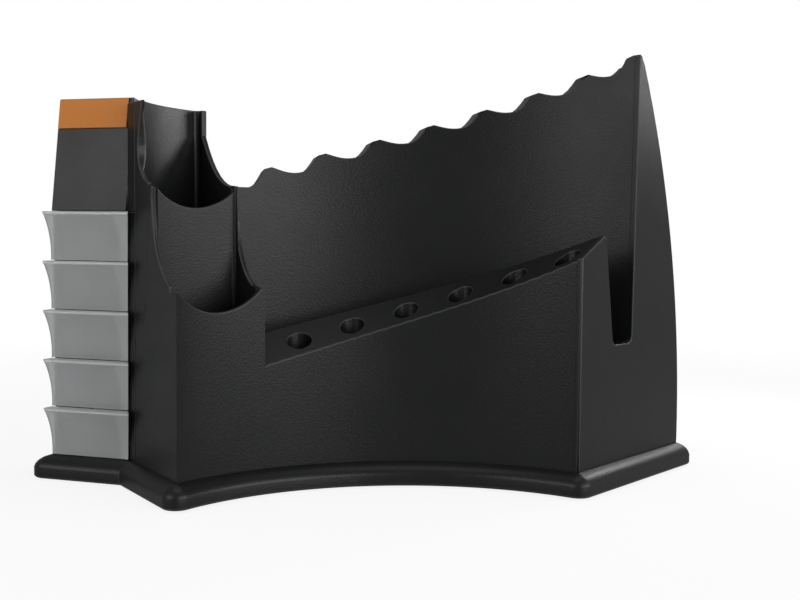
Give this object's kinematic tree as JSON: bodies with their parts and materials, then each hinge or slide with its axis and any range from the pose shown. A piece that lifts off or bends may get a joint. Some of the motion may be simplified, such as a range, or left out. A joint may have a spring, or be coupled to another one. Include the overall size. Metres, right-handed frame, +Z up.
{
  "type": "desktop brush and tool organizer",
  "caption": "Curved desktop brush and tool organizer with a sloping shelf of brush holes, a scalloped rest wall, stepped pots and a tower of small clear sliding drawers.",
  "frame": {"origin": "middle of the part's box, on the desk", "axes": "+X to the user's right along the chord of the hollow front, +Y away from the user, +Z up"},
  "size_m": [0.3176, 0.1486, 0.1981],
  "materials": {
    "body": "fine moulded texture, satin",
    "drawer": "clear, lightly frosted",
    "badge": "plain, satin",
    "rubber": "matt",
    "steel": "plain"
  },
  "bodies": {
    "housing": {"base_plinth": "body", "base_floor": "body", "front_housing": "body", "brush_shelf": "body", "trough_floor": "body", "end_panel": "body", "rear_wall": "body", "rear_shell": "body", "pot_block": "body", "drawer_tower": "body", "tower_cap": "body", "tower_back_panel": "body", "drawer_guide_left": "body", "drawer_guide_right": "body", "badge": "badge", "rubber_feet": "rubber", "base_screws": "steel"},
    "tray_1": {"drawer_1": "drawer"},
    "tray_2": {"drawer_2": "drawer"},
    "tray_3": {"drawer_3": "drawer"},
    "tray_4": {"drawer_4": "drawer"},
    "tray_5": {"drawer_5": "drawer"}
  },
  "joints": [
    {"name": "drawer_1_slide", "type": "slide", "parent": "housing", "child": "tray_1", "axis": [-0.4633, -0.8862, 0], "range_m": [0, 0.034]},
    {"name": "drawer_2_slide", "type": "slide", "parent": "housing", "child": "tray_2", "axis": [-0.4633, -0.8862, 0], "range_m": [0, 0.034]},
    {"name": "drawer_3_slide", "type": "slide", "parent": "housing", "child": "tray_3", "axis": [-0.4633, -0.8862, 0], "range_m": [0, 0.034]},
    {"name": "drawer_4_slide", "type": "slide", "parent": "housing", "child": "tray_4", "axis": [-0.4633, -0.8862, 0], "range_m": [0, 0.034]},
    {"name": "drawer_5_slide", "type": "slide", "parent": "housing", "child": "tray_5", "axis": [-0.4633, -0.8862, 0], "range_m": [0, 0.034]}
  ]
}
